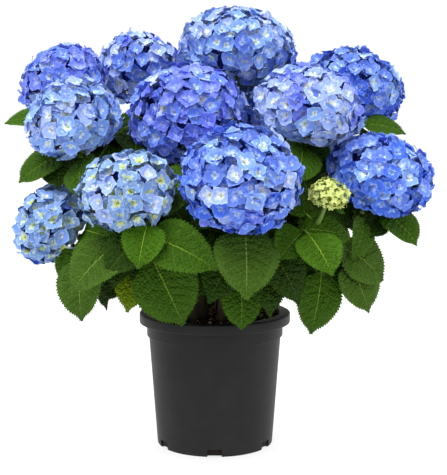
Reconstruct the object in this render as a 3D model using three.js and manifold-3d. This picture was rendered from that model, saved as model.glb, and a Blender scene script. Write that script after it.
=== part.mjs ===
// A mophead hydrangea shrub in bloom, growing in a round plastic nursery pot.
// Millimetres, +Z up. The origin is the centre of the pot's flat underside, and the shrub faces -Y.
//
// The plant is a clump of canes that fan out from the middle of the pot. Each cane carries one
// domed flower head, and broad leaves hang in drooping masses under the heads and over the pot.
// Places are given round the pot's axis: azimuth 0 is the front (-Y) and 90 the right (+X).

import * as THREE from "three";
import { mergeVertices } from "three/addons/utils/BufferGeometryUtils.js";
import Module from "manifold-3d";

const wasm = await Module();
wasm.setup();

// ---------------------------------------------------------------- driving dimensions

const GAP = 0.4; // clearance between two solids that would otherwise touch
const WELD = 1e-3; // points nearer than this are one

const POT = {
  height: 199.5,
  baseRadius: 87,
  wall: 2.2,
  floor: 2.4,
  footChamfer: 1.5,
  shoulderHeight: 165, // where the tapered wall meets the stacking band
  shoulderRadius: 99,
  bandRadius: 102,
  lipHeight: 184.5, // underside of the lip
  lipRadius: 113,
  lipRound: 1.5,
  sides: 36,
};

const NOTCH = { count: 6, width: 21, height: 11.5, depth: 9 }; // drain notches in the pot's foot

const MIX_TOP = 194; // surface of the potting mix, just below the lip

const CANE = {
  rootRadius: 5, // just above the root flare
  tipRadius: 3,
  flare: 1.4, // root flare, as a multiple of rootRadius
  flareShare: 0.1, // share of the length that the flare takes
  rootInner: 16, // distance of the tallest cane's root from the pot's axis
  rootOuter: 64, // and of the lowest cane's root
  climb: 0.42, // how far the cane climbs straight up before it leans out, as a share of its span
  follow: 0.34, // how far below the head the cane already points along the head's axis
  sunk: 0.3, // how far below the head's centre the cane ends, as a share of the dome's half height
  rings: 7,
  sides: 6,
};

// Flower heads: reach is the distance from the pot's axis and height the centre's height, radius is
// across the dome, rise is the dome's half height as a share of radius, and lean tips the dome
// outwards from upright, in degrees.
const HEADS = [
  { name: "top", azimuth: 154, reach: 77, height: 584, radius: 90, rise: 0.8, lean: 8 },
  { name: "centre_left", azimuth: -37, reach: 63, height: 490, radius: 85, rise: 0.88, lean: 24 },
  { name: "front", azimuth: 11, reach: 184, height: 408, radius: 82, rise: 0.91, lean: 34 },
  { name: "right_centre", azimuth: 62, reach: 150, height: 502, radius: 78, rise: 0.81, lean: 12 },
  { name: "right_front", azimuth: 73, reach: 245, height: 405, radius: 78, rise: 0.82, lean: 16 },
  { name: "left_front", azimuth: -65, reach: 217, height: 484, radius: 67, rise: 0.93, lean: 18 },
  { name: "low_left", azimuth: -35, reach: 203, height: 391, radius: 66, rise: 0.88, lean: 22 },
  { name: "side_left", azimuth: -73, reach: 242, height: 339, radius: 58, rise: 0.88, lean: 60 },
  { name: "far_left", azimuth: -96, reach: 225, height: 537, radius: 66, rise: 0.9, lean: 18 },
  { name: "back_left", azimuth: -133, reach: 162, height: 557, radius: 66, rise: 0.92, lean: 16 },
  { name: "back_right", azimuth: 109, reach: 221, height: 529, radius: 78, rise: 0.81, lean: 18 },
  { name: "bud", azimuth: 44, reach: 224, height: 388, radius: 27, rise: 0.82, lean: 16 },
  { name: "rear_high", azimuth: 172, reach: 212, height: 484, radius: 74, rise: 0.84, lean: 34 },
  { name: "rear_right_high", azimuth: 142, reach: 281, height: 508, radius: 62, rise: 0.86, lean: 34 },
  { name: "rear_right", azimuth: 120, reach: 246, height: 402, radius: 60, rise: 0.86, lean: 40 },
  { name: "rear_left", azimuth: -143, reach: 253, height: 378, radius: 68, rise: 0.86, lean: 42 },
  { name: "rear_low", azimuth: 170, reach: 240, height: 366, radius: 68, rise: 0.86, lean: 46 },
];
const HEAD_DETAIL = 2; // subdivisions of the icosahedron that each head starts from
const HEAD_UNDER = 0.78; // how far the underside bulges, as a share of the dome above
const HEAD_BUMPS = 0.035; // unevenness of a head's surface, as a share of its radius
const WAVE_RATES = [4.1, 4.7, 5.3]; // how fast the unevenness changes along x, y and z
const WAVE_SHIFTS = [1.7, 2.3, 3.1]; // how far it moves along x, y and z from one seed to the next

// Leaf masses: each hangs from its heel, near a cane, to its tip. Heel and tip are
// [azimuth, reach, height], width is across the widest place, and face is the azimuth that the
// upper side of its leaves looks towards.
const LEAF_MASSES = [
  { name: "front", heel: [10, 168, 338], tip: [11, 219, 254], width: 92, face: 8 },
  { name: "front_low", heel: [12, 133, 268], tip: [15, 143, 199], width: 62, face: 6 },
  { name: "front_right", heel: [27, 146, 326], tip: [36, 199, 238], width: 78, face: 18 },
  { name: "front_left", heel: [-27, 168, 308], tip: [-17, 147, 206], width: 86, face: -14 },
  { name: "under_low_left", heel: [-28, 215, 356], tip: [-24, 243, 296], width: 54, face: -8 },
  { name: "left", heel: [-41, 200, 324], tip: [-46, 267, 258], width: 82, face: -14 },
  { name: "left_low", heel: [-63, 218, 294], tip: [-58, 217, 206], width: 68, face: -24 },
  { name: "left_inner_low", heel: [-48, 143, 292], tip: [-44, 173, 220], width: 60, face: -16 },
  { name: "right_low", heel: [54, 176, 278], tip: [51, 173, 187], width: 66, face: 18 },
  { name: "under_bud", heel: [39, 212, 334], tip: [37, 257, 284], width: 64, face: 16 },
  { name: "right", heel: [66, 211, 286], tip: [64, 242, 216], width: 66, face: 22 },
  { name: "far_right", heel: [79, 253, 363], tip: [75, 298, 307], width: 62, face: 24 },
  { name: "right_high", heel: [93, 220, 477], tip: [90, 282, 464], width: 48, face: 20 },
  { name: "left_high", heel: [-75, 226, 441], tip: [-74, 287, 396], width: 66, face: -20 },
  { name: "far_left_tip", heel: [-82, 252, 485], tip: [-82, 305, 482], width: 42, face: -20 },
  { name: "left_mid", heel: [-85, 180, 445], tip: [-84, 234, 390], width: 60, face: -22 },
  { name: "rear_left", heel: [-140, 179, 318], tip: [-138, 249, 232], width: 98, face: -140 },
  { name: "rear_mid", heel: [177, 158, 276], tip: [179, 226, 204], width: 96, face: 178 },
  { name: "rear_right", heel: [141, 176, 312], tip: [140, 246, 230], width: 98, face: 142 },
  { name: "rear_far_right", heel: [127, 186, 342], tip: [130, 258, 270], width: 90, face: 108 },
];
const PAD = {
  thickness: 17,
  arch: 0.2, // how far the mass arches above the straight line from heel to tip
  facing: 0.8, // how much the upper face looks outwards rather than up
  firstRing: 0.05, // where the blunt heel ends, as a share of the length
  lastRing: 0.93, // where the point of the tip begins
  bumps: 0.07,
  rings: 6,
  sides: 6,
  skew: 0.72, // moves the widest part towards the heel
  fullness: 0.7, // the lower, the blunter the outline
  ringWave: 2.3, // how fast the unevenness changes from ring to ring
  sideWave: 1.9, // and from side to side
};

// Inner foliage: uneven lumps of leaves round the canes, in the heart of the shrub.
const HEART_MASSES = [
  { name: "heart_front", azimuth: -4, reach: 74, height: 306, size: [92, 48, 58] },
  { name: "heart_right", azimuth: 80, reach: 132, height: 366, size: [56, 70, 70] },
  { name: "heart_left", azimuth: -80, reach: 124, height: 400, size: [56, 72, 74] },
  { name: "heart_rear", azimuth: 180, reach: 96, height: 366, size: [88, 56, 70] },
];
const HEART_DETAIL = 1;
const HEART_BUMPS = 0.1;

// ---------------------------------------------------------------- colours

const finish = (color, roughness) =>
  new THREE.MeshStandardMaterial({ color, roughness, metalness: 0 });

const MATERIALS = {
  pot: finish(0x2b2b2d, 0.62),
  mix: finish(0x3a2417, 0.95),
  cane: finish(0x6f8a35, 0.6),
  leaf: finish(0x2f6a1f, 0.5),
  head: finish(0x5b7fe0, 0.7),
  bud: finish(0xd3dd7a, 0.7),
};

// ---------------------------------------------------------------- small helpers

const UP = new THREE.Vector3(0, 0, 1);

/** The outward horizontal direction at an azimuth in degrees, 0 at the front and 90 to the right. */
function outward(azimuth) {
  const a = THREE.MathUtils.degToRad(azimuth);
  return new THREE.Vector3(Math.sin(a), -Math.cos(a), 0);
}

/** The point at an azimuth, a distance from the pot's axis and a height. */
function place(azimuth, reach, height) {
  return outward(azimuth).multiplyScalar(reach).setZ(height);
}

/** A smooth value from -1 to 1 that varies with direction, different for each seed. */
function bump(direction, seed) {
  const waves = direction.toArray().map((value, axis) => {
    return Math.sin(WAVE_RATES[axis] * value + WAVE_SHIFTS[axis] * seed);
  });
  return (waves[0] + waves[1] + waves[2]) / waves.length;
}

/** A closed BufferGeometry as a solid that can be cut. */
function solidOf(geometry) {
  const bare = geometry.clone();
  bare.deleteAttribute("normal");
  bare.deleteAttribute("uv");
  const merged = mergeVertices(bare, WELD);
  return new wasm.Manifold(
    new wasm.Mesh({
      numProp: 3,
      vertProperties: new Float32Array(merged.attributes.position.array),
      triVerts: new Uint32Array(merged.index.array),
    }),
  );
}

/** A solid as a BufferGeometry with flat faces. */
function geometryOf(solid) {
  const mesh = solid.getMesh();
  const geometry = new THREE.BufferGeometry();
  geometry.setAttribute("position", new THREE.BufferAttribute(new Float32Array(mesh.vertProperties), 3));
  geometry.setIndex(new THREE.BufferAttribute(new Uint32Array(mesh.triVerts), 1));
  const flat = geometry.toNonIndexed();
  flat.computeVertexNormals();
  return flat;
}

/** The solid less everything in cutters, as its one largest piece. */
function carve(solid, cutters) {
  const left = cutters.reduce((rest, cutter) => rest.subtract(cutter), solid);
  const pieces = left.decompose();
  return pieces.reduce((best, piece) => (piece.volume() > best.volume() ? piece : best));
}

/** Closed skin over rings of points: a flat cap on the first ring, and a cap or a point at the end. */
function skin(rings, point = null) {
  const sides = rings[0].length;
  const vertices = rings.flat();
  const faces = [];
  const at = (ring, side) => ring * sides + (side % sides);
  for (let ring = 0; ring + 1 < rings.length; ring++)
    for (let side = 0; side < sides; side++) {
      faces.push(at(ring, side), at(ring, side + 1), at(ring + 1, side + 1));
      faces.push(at(ring, side), at(ring + 1, side + 1), at(ring + 1, side));
    }
  const last = rings.length - 1;
  for (let side = 1; side + 1 < sides; side++) {
    faces.push(at(0, 0), at(0, side + 1), at(0, side));
  }
  if (point) {
    const apex = vertices.push(point) - 1;
    for (let side = 0; side < sides; side++) {
      faces.push(at(last, side), at(last, side + 1), apex);
    }
  } else {
    for (let side = 1; side + 1 < sides; side++) {
      faces.push(at(last, 0), at(last, side), at(last, side + 1));
    }
  }
  const geometry = new THREE.BufferGeometry().setFromPoints(vertices);
  geometry.setIndex(faces);
  return geometry;
}

/** A named mesh of a solid, with its own frame at the given place. */
function meshOf(name, solid, material, origin = new THREE.Vector3(), turn = new THREE.Quaternion()) {
  const frame = new THREE.Matrix4().compose(origin, turn, new THREE.Vector3(1, 1, 1));
  const mesh = new THREE.Mesh(geometryOf(solid).applyMatrix4(frame.clone().invert()), material);
  mesh.name = name;
  mesh.position.copy(origin);
  mesh.quaternion.copy(turn);
  return mesh;
}

// ---------------------------------------------------------------- pot and potting mix

/** Radius of the pot's inner wall at a height. */
function innerRadius(height) {
  const share = Math.min(height / POT.shoulderHeight, 1);
  return THREE.MathUtils.lerp(POT.baseRadius, POT.shoulderRadius, share) - POT.wall;
}

/** A solid of revolution about +Z from [radius, height] points that start and end on the axis. */
function turned(profile) {
  const points = profile.map(([radius, height]) => new THREE.Vector2(radius, height));
  return new THREE.LatheGeometry(points, POT.sides).rotateX(Math.PI / 2);
}

function makePot() {
  const { height, baseRadius, floor, footChamfer, shoulderHeight, shoulderRadius } = POT;
  const { bandRadius, lipHeight, lipRadius, lipRound } = POT;
  const shell = solidOf(
    turned([
      [0, 0],
      [baseRadius - footChamfer, 0],
      [baseRadius, footChamfer],
      [shoulderRadius, shoulderHeight],
      [bandRadius, shoulderHeight + footChamfer],
      [bandRadius, lipHeight],
      [lipRadius, lipHeight],
      [lipRadius, height - lipRound],
      [lipRadius - lipRound, height],
      [innerRadius(height) + lipRound, height],
      [innerRadius(height), height - lipRound],
      [innerRadius(shoulderHeight), shoulderHeight],
      [innerRadius(floor), floor],
      [0, floor],
    ]),
  );
  const notches = Array.from({ length: NOTCH.count }, (_, index) => {
    const box = new THREE.BoxGeometry(NOTCH.width, 2 * NOTCH.depth, 2 * NOTCH.height);
    box.translate(0, -baseRadius, 0);
    box.rotateZ((index * 2 * Math.PI) / NOTCH.count);
    return solidOf(box);
  });
  return carve(shell, notches);
}

function makeMix() {
  return solidOf(
    turned([
      [0, POT.floor + GAP],
      [innerRadius(POT.floor) - GAP, POT.floor + GAP],
      [innerRadius(POT.shoulderHeight) - GAP, POT.shoulderHeight],
      [innerRadius(MIX_TOP) - GAP, MIX_TOP],
      [0, MIX_TOP],
    ]),
  );
}

// ---------------------------------------------------------------- flower heads

/** Centre, axis and turn of a head. The axis points out of the top of its dome. */
function headFrame(head) {
  const lean = THREE.MathUtils.degToRad(head.lean);
  const axis = outward(head.azimuth).multiplyScalar(Math.sin(lean)).setZ(Math.cos(lean));
  return {
    centre: place(head.azimuth, head.reach, head.height),
    axis,
    turn: new THREE.Quaternion().setFromUnitVectors(UP, axis),
  };
}

/** An uneven dome with a flatter underside. */
function makeHead(head, seed, grow = 0) {
  const { centre, turn } = headFrame(head);
  const geometry = new THREE.IcosahedronGeometry(1, HEAD_DETAIL);
  const position = geometry.attributes.position;
  const direction = new THREE.Vector3();
  for (let i = 0; i < position.count; i++) {
    direction.fromBufferAttribute(position, i);
    const uneven = 1 + HEAD_BUMPS * bump(direction, seed);
    const rise = head.rise * (direction.z < 0 ? HEAD_UNDER : 1);
    const across = head.radius * uneven + grow;
    const along = head.radius * rise * uneven + grow;
    position.setXYZ(i, direction.x * across, direction.y * across, direction.z * along);
  }
  geometry.applyQuaternion(turn).translate(centre.x, centre.y, centre.z);
  return solidOf(geometry);
}

// ---------------------------------------------------------------- canes

const TALLEST = Math.max(...HEADS.map((head) => head.height));
const LOWEST = Math.min(...HEADS.map((head) => head.height));

/** The centreline of the cane that carries a head, from the mix to just inside the head. */
function caneCurve(head) {
  const { centre, axis } = headFrame(head);
  const lowness = (TALLEST - head.height) / (TALLEST - LOWEST);
  const rootReach = THREE.MathUtils.lerp(CANE.rootInner, CANE.rootOuter, lowness);
  const root = place(head.azimuth, rootReach, MIX_TOP + GAP);
  const end = centre.clone().addScaledVector(axis, -CANE.sunk * head.radius * head.rise);
  const span = root.distanceTo(end);
  return new THREE.CubicBezierCurve3(
    root,
    root.clone().addScaledVector(UP, CANE.climb * span),
    end.clone().addScaledVector(axis, -CANE.follow * span),
    end,
  );
}

/** Radius of a cane at a share of its length, with the flare at its root. */
function caneRadius(share) {
  const taper = THREE.MathUtils.lerp(CANE.rootRadius, CANE.tipRadius, share);
  const flare = 1 + (CANE.flare - 1) * Math.max(0, 1 - share / CANE.flareShare);
  return taper * flare;
}

/** One tapering limb along a curve, cut flat at its foot. */
function makeCane(head, grow = 0) {
  const curve = caneCurve(head);
  const frames = curve.computeFrenetFrames(CANE.rings);
  const rings = [];
  for (let ring = 0; ring <= CANE.rings; ring++) {
    const share = ring / CANE.rings;
    const middle = curve.getPointAt(share);
    const radius = caneRadius(share) + grow;
    rings.push(
      Array.from({ length: CANE.sides }, (_, side) => {
        const angle = (2 * Math.PI * side) / CANE.sides;
        return middle
          .clone()
          .addScaledVector(frames.normals[ring], radius * Math.cos(angle))
          .addScaledVector(frames.binormals[ring], radius * Math.sin(angle));
      }),
    );
  }
  return solidOf(skin(rings));
}

// ---------------------------------------------------------------- foliage

/** Half width of a leaf-shaped mass at a share of its length: full near the heel, narrow at the tip. */
function ovate(share) {
  return Math.sin(Math.PI * share ** PAD.skew) ** PAD.fullness;
}

/** A drooping mass with a leaf's outline: blunt at its heel, arched, and pointed at its tip. */
function makeLeafMass(mass, seed, grow = 0) {
  const heel = place(...mass.heel);
  const tip = place(...mass.tip);
  const length = heel.distanceTo(tip);
  const crest = heel.clone().lerp(tip, 0.5).addScaledVector(UP, PAD.arch * length);
  const out = outward(mass.face);
  crest.addScaledVector(out, PAD.arch * length);
  const spine = new THREE.QuadraticBezierCurve3(heel, crest, tip);
  const facing = out.clone().multiplyScalar(PAD.facing).add(UP).normalize();
  const rings = [];
  for (let ring = 0; ring < PAD.rings; ring++) {
    const share = THREE.MathUtils.lerp(PAD.firstRing, PAD.lastRing, ring / (PAD.rings - 1));
    const middle = spine.getPointAt(share);
    const along = spine.getTangentAt(share);
    const across = facing.clone().cross(along).normalize();
    const normal = along.clone().cross(across);
    const wide = (mass.width / 2) * ovate(share) + grow;
    const thick = (PAD.thickness / 2) * Math.sqrt(ovate(share)) + grow;
    rings.push(
      Array.from({ length: PAD.sides }, (_, side) => {
        const angle = (2 * Math.PI * side) / PAD.sides;
        const uneven = 1 + PAD.bumps * Math.sin(PAD.ringWave * ring + PAD.sideWave * side + seed);
        return middle
          .clone()
          .addScaledVector(across, wide * uneven * Math.cos(angle))
          .addScaledVector(normal, thick * uneven * Math.sin(angle));
      }),
    );
  }
  return solidOf(skin(rings, tip.clone().addScaledVector(spine.getTangentAt(1), grow)));
}

/** An uneven lump of inner leaves, with its size given outwards-across, outwards and upwards. */
function makeHeartMass(mass, seed, grow = 0) {
  const geometry = new THREE.IcosahedronGeometry(1, HEART_DETAIL);
  const position = geometry.attributes.position;
  const direction = new THREE.Vector3();
  const [across, deep, tall] = mass.size;
  for (let i = 0; i < position.count; i++) {
    direction.fromBufferAttribute(position, i);
    const uneven = 1 + HEART_BUMPS * bump(direction, seed);
    position.setXYZ(
      i,
      direction.x * (across * uneven + grow),
      direction.y * (deep * uneven + grow),
      direction.z * (tall * uneven + grow),
    );
  }
  const middle = place(mass.azimuth, mass.reach, mass.height);
  geometry.rotateZ(THREE.MathUtils.degToRad(mass.azimuth)).translate(middle.x, middle.y, middle.z);
  return solidOf(geometry);
}

// ---------------------------------------------------------------- assembly

const shrub = new THREE.Group();
const container = new THREE.Group();
const plant = new THREE.Group();
shrub.add(container, plant);

container.add(meshOf("pot", makePot(), MATERIALS.pot));
container.add(meshOf("potting_mix", makeMix(), MATERIALS.mix));

// Heads press against each other where they meet: each is cut back by the ones before it.
const keepOut = [];
HEADS.forEach((head, index) => {
  const { centre, turn } = headFrame(head);
  const solid = carve(makeHead(head, index), keepOut);
  keepOut.push(makeHead(head, index, GAP));
  const material = head.name === "bud" ? MATERIALS.bud : MATERIALS.head;
  plant.add(meshOf(`head_${head.name}`, solid, material, centre, turn));
});

// Each cane ends where it enters its head.
const canes = HEADS.map((head) => carve(makeCane(head), keepOut));
HEADS.forEach((head, index) => {
  plant.add(meshOf(`cane_${head.name}`, canes[index], MATERIALS.cane, caneCurve(head).v0));
  keepOut.push(makeCane(head, GAP));
});

// The foliage is cut round the heads and canes, and each mass round the ones before it.
LEAF_MASSES.forEach((mass, index) => {
  const solid = carve(makeLeafMass(mass, index), keepOut);
  keepOut.push(makeLeafMass(mass, index, GAP));
  plant.add(meshOf(`leaves_${mass.name}`, solid, MATERIALS.leaf, place(...mass.heel)));
});
HEART_MASSES.forEach((mass, index) => {
  const solid = carve(makeHeartMass(mass, index), keepOut);
  keepOut.push(makeHeartMass(mass, index, GAP));
  const middle = place(mass.azimuth, mass.reach, mass.height);
  plant.add(meshOf(`leaves_${mass.name}`, solid, MATERIALS.leaf, middle));
});

export default shrub;
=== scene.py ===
"""A mophead hydrangea in a nursery pot: florets, leaves, stalks, bark and plastic around the CAD frame.

Every head, leaf mass and cane of the CAD model is replaced by a finer piece worked out from its own
node. Lengths are in metres, +Z is up and the shrub faces -Y.
"""

import math
from collections import namedtuple

import bmesh
import bpy
import numpy as np
from mathutils import Matrix, Vector, noise
from mathutils.bvhtree import BVHTree
from numpy.linalg import norm


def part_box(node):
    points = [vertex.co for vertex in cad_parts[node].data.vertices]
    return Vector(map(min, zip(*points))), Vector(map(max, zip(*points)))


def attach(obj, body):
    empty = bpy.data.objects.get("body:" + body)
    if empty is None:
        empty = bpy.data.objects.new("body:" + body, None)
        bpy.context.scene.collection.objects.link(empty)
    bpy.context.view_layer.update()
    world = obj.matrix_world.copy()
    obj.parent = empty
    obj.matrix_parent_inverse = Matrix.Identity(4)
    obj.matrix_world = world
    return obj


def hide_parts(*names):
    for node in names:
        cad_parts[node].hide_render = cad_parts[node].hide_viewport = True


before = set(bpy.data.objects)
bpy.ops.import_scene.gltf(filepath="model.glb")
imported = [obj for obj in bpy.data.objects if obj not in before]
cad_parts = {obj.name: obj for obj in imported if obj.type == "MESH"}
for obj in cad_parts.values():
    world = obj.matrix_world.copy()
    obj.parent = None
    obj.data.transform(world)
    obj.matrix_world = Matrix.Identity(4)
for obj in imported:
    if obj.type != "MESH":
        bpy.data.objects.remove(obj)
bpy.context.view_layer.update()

MM = 0.001
SEED = 11

# ---------------- driving dimensions

FLORET = {
    "spacing": 18.0 * MM,  # least distance between two florets' centres
    "petal": 18.0 * MM,  # length of a petal
    "width": 17.4 * MM,
    "steep": (0.8, 1.25),  # slope of the petals where they leave the eye, in radians
    "sunk": 8.5 * MM,  # how far a floret's centre lies under the head's outline
    "under_spacing": 18.0 * MM,  # the same for the florets pushed down between the others
    "under_sunk": 14.0 * MM,
    "variants": 12,
}
YOUNG_FLORET = {
    "spacing": 7.6 * MM,
    "petal": 5.8 * MM,
    "width": 4.0 * MM,
    "steep": (0.2, 0.7),
    "sunk": 1.0 * MM,
    "under_spacing": 10.0 * MM,
    "under_sunk": 4.0 * MM,
    "variants": 4,
}
BARE_UNDERSIDE = 34  # degrees round the cane that carry no florets

LEAF = {
    "vein_pairs": 7,
    "first_vein": 0.05,
    "vein_step": 0.112,
    "vein_breadth": 0.014,
    "sweep": 0.2,  # how far the side veins run forward, as a share of the length
    "midrib": 0.022,  # half breadth of the midrib, as a share of the half width
    "quilt": 2.2 * MM,  # how far the blade swells between two side veins
    "groove": 2.2 * MM,
    "tooth": 3.0 * MM,
}
HEART_LEAF = {
    "spacing": 40 * MM,
    "length": (78, 104),  # in millimetres
    "breadth": (0.64, 0.74),  # as a share of the length
}
CANE_LEAF = {
    "gap": 64 * MM,  # distance between two leaf pairs
    "pairs": 8,
    "longest": 112 * MM,
    "longest_by_bud": 52 * MM,
    "breadth": (0.64, 0.76),
    "tries": 8,
}
CROWN = {
    "reach": 9 * MM,  # how near a mass a leaf's tip must end
    "inside": -0.25,  # cosine between face normal and offset that counts as inside a mass
    "between": 18 * MM,  # or how near to three masses
}
LEAD_GUARD = (-4 * MM, 70 * MM, 40 * MM)  # lowest and highest rise over a lead leaf's face, and radius
MIX_GUARD = (50 * MM, 130 * MM)  # height over the pot and radius kept open before the mix
CANE = {
    "sides": 12,
    "knot": 4 * MM,  # half length of the swelling at a leaf pair
    "swell": 0.28,
    "ribs": 0.045,
    "rough": 0.03,
    # height up to which the cane is woody brown, darkened as painted shade
    "woody_and_shaded_up_to": 0.285,
}
CORE_SHARE = 0.7  # size of the dark inner form against the head, whose deep colour is painted shade
MIX = {"sides": 96, "rings": 26, "bark_bits": 1500, "perlite_bits": 230, "gap": 0.6 * MM}

POT = {
    "height": 199.5 * MM,
    "base": 87 * MM,
    "shoulder": (99 * MM, 165 * MM),  # radius and height where the stacking band begins
    "band": 102 * MM,
    "lip": (113 * MM, 184.5 * MM),
    "wall": 2.2 * MM,
    "floor": 2.4 * MM,
    "notches": 6,
    "notch_width": 21 * MM,
    "notch_height": 11.5 * MM,
    "sides": 144,
}

CAMERA = {"place": (0.013, -1.7775, 0.5264), "tilt": 6.905, "lens": 90.9}
FLOOR = {"side": 12, "front": -1.2, "back": 6}
# Strength of the light from all round: where the share towards +Y is low, and where it is high.
SKY = {"share": (0.7, 0.92), "strength": (0.7, 1.03)}
# Lamps: where the light comes from, its angle in degrees and its strength.
PLANT_LAMPS = {
    "key": ((-0.35, -0.5, 1.0), 34, 2.5),
    "top": ((0.1, 0.1, 1.0), 80, 0.9),
    "fill": ((0.8, -0.7, 0.35), 60, 0.35),
}
FLOOR_LAMPS = {"sweep": ((0.0, 0.0, 1.0), 30, 2.3)}

Shape = namedtuple("Shape", "points tris quads tri_zones quad_zones")

# ---------------- colours


def srgb(red, green, blue):
    """A screen colour from 0 to 255 as the linear colour that a shader takes."""
    def linear(value):
        share = value / 255
        return share / 12.92 if share <= 0.04045 else ((share + 0.055) / 1.055) ** 2.4
    return (linear(red), linear(green), linear(blue), 1.0)


# A floret's colours from its eye to the petals' rims: eye, throat, inner, outer, rim. The rim, a little
# lighter than the outer part, is a painted highlight along the petals' edges.
PETALS = {
    "periwinkle": [(160, 176, 190), (190, 208, 242), (140, 168, 238), (100, 132, 228), (128, 156, 238)],
    "violet": [(136, 148, 200), (168, 182, 242), (136, 152, 240), (108, 126, 232), (134, 150, 238)],
    "sky": [(196, 206, 140), (226, 236, 236), (178, 206, 242), (130, 166, 238), (158, 190, 243)],
    "pale": [(200, 204, 150), (230, 236, 236), (196, 210, 242), (152, 176, 240), (178, 198, 244)],
    "deep": [(116, 144, 196), (160, 188, 238), (102, 142, 234), (70, 108, 224), (100, 138, 234)],
    "green_eyed": [(160, 176, 70), (212, 222, 140), (196, 214, 208), (128, 164, 220), (162, 190, 228)],
    "young": [(176, 192, 84), (222, 232, 150), (212, 224, 136), (200, 212, 116), (214, 224, 140)],
}

# How the florets of each head are dealt out among the kinds, by weight: on its top, and below. The paler
# kinds on top are painted light and the deeper kinds below are painted shade, as light falls from above; the
# top and back_left heads lean to paler kinds still, as painted light on heads that lie in shade.
HEAD_KINDS_LIT_TOP_SHADED_BELOW = {
    "front": ({"periwinkle": 5, "pale": 1, "sky": 1}, {"periwinkle": 4, "deep": 5, "violet": 2}),
    "centre_left": ({"violet": 5, "periwinkle": 4, "pale": 2}, {"violet": 6, "periwinkle": 4}),
    "top": ({"sky": 5, "pale": 5}, {"sky": 6, "pale": 2, "periwinkle": 2}),
    "left_front": ({"sky": 5, "pale": 5}, {"sky": 6, "pale": 1, "green_eyed": 1}),
    "low_left": ({"green_eyed": 7, "pale": 2}, {"green_eyed": 6, "sky": 2}),
    "side_left": ({"green_eyed": 5, "sky": 2}, {"green_eyed": 4, "deep": 2}),
    "right_centre": ({"pale": 6, "violet": 2, "periwinkle": 1}, {"pale": 6, "sky": 3}),
    "right_front": ({"periwinkle": 4, "sky": 2, "deep": 1}, {"deep": 5, "periwinkle": 3, "sky": 1}),
    "far_left": ({"violet": 4, "pale": 3, "periwinkle": 3}, {"violet": 5, "periwinkle": 2}),
    "back_left": ({"periwinkle": 4, "violet": 1, "pale": 6}, {"periwinkle": 5, "pale": 4}),
    "back_right": ({"periwinkle": 4, "sky": 3, "deep": 1}, {"deep": 4, "periwinkle": 3, "sky": 1}),
    "bud": ({"young": 1}, {"young": 1}),
}
OTHER_KINDS_LIT_TOP_SHADED_BELOW = ({"violet": 2, "periwinkle": 3, "pale": 2, "sky": 1}, {"violet": 2, "periwinkle": 3, "deep": 3})

# A leaf's colours: midrib, side veins, blade, and the blade's outer part, a little lighter as painted light
# along the edge.
LEAVES = {
    "dusky": [(124, 150, 66), (76, 106, 34), (62, 92, 22), (69, 100, 28)],
    "dark": [(90, 118, 36), (48, 76, 16), (36, 62, 6), (42, 69, 10)],
    "mid": [(120, 150, 48), (66, 102, 20), (53, 87, 9), (60, 95, 14)],
    "bright": [(146, 176, 54), (76, 118, 20), (60, 98, 8), (67, 107, 14)],
    "yellowing": [(148, 168, 44), (116, 140, 28), (98, 124, 6), (110, 132, 14)],
}

# The leaves that show most take the kind they have on the plant, save far_right, whose bright kind is painted
# light on a leaf that faces sideways into shade; the others are dealt out.
LEAD_KINDS = {
    "front": "dusky",
    "front_low": "mid",
    "front_right": "dark",
    "front_left": "mid",
    "under_low_left": "bright",
    "left": "dusky",
    "left_low": "dusky",
    "left_inner_low": "yellowing",
    "right_low": "mid",
    "under_bud": "bright",
    "right": "dusky",
    # painted light: the bright kind lifts a leaf that lies in shade
    "far_right": "bright",
    "right_high": "mid",
    "left_high": "mid",
    "far_left_tip": "bright",
}

# Leaves beside a lead leaf: turn in degrees about its face, length and breadth against the lead's, how
# far forward and back along it the heel lies in millimetres, and the kind.
FANS = {
    "right": [(36, 1.06, 1.02, 0, 24, "dusky"), (-25, 0.7, 0.8, -14, 12, "dark")],
    "front_left": [(-24, 0.6, 0.6, -26, 14, "dark"), (24, 0.7, 0.7, -30, 14, "dark")],
    "under_low_left": [(73, 1.62, 1.2, -14, -12, "mid"), (-30, 1.3, 1.1, -24, 0, "dark")],
    "far_right": [(-80, 0.95, 0.8, -12, 2, "dark")],
    "left_inner_low": [(-34, 1.15, 0.9, -8, 4, "dark"), (30, 0.7, 0.8, -12, 8, "dark")],
    "front_low": [(-12, 0.7, 0.9, -44, 22, "dark"), (44, 0.9, 0.8, -34, 10, "dark")],
    "front": [(-28, 1.08, 0.8, -34, 4, "dark"), (36, 0.8, 0.7, -24, 14, "dark")],
    "left_high": [(62, 0.72, 0.9, -6, -6, "dark")],
    "left": [(30, 0.74, 0.7, -16, 10, "dark"), (-8, 0.8, 0.9, -24, 26, "dark")],
    "right_low": [(-28, 0.66, 0.7, -14, 12, "dark"), (34, 0.7, 0.8, -18, 8, "dark")],
    "front_right": [(-26, 0.95, 0.8, -20, -6, "dark"), (26, 0.7, 0.7, -12, 14, "dark")],
    "under_bud": [(-60, 0.9, 0.8, -12, 12, "mid"), (64, 1.1, 0.8, -16, 18, "mid")],
    "left_mid": [(28, 0.8, 0.8, -8, 8, "dark"), (168, 1.4, 0.9, -14, 6, "dark")],
    "rear_far_right": [],
    "far_left_tip": [],
    "right_high": [],
}

# ---------------- materials


def tree_of(material):
    """A material's nodes, its links and its shader."""
    nodes = material.node_tree.nodes
    return nodes, material.node_tree.links, nodes["Principled BSDF"]


def noise_field(nodes, links, place, size, detail):
    """A noise whose patches are about the given size."""
    field = nodes.new("ShaderNodeTexNoise")
    field.inputs["Scale"].default_value = 1 / size
    field.inputs["Detail"].default_value = detail
    links.new(place, field.inputs["Vector"])
    return field.outputs["Fac"]


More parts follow.
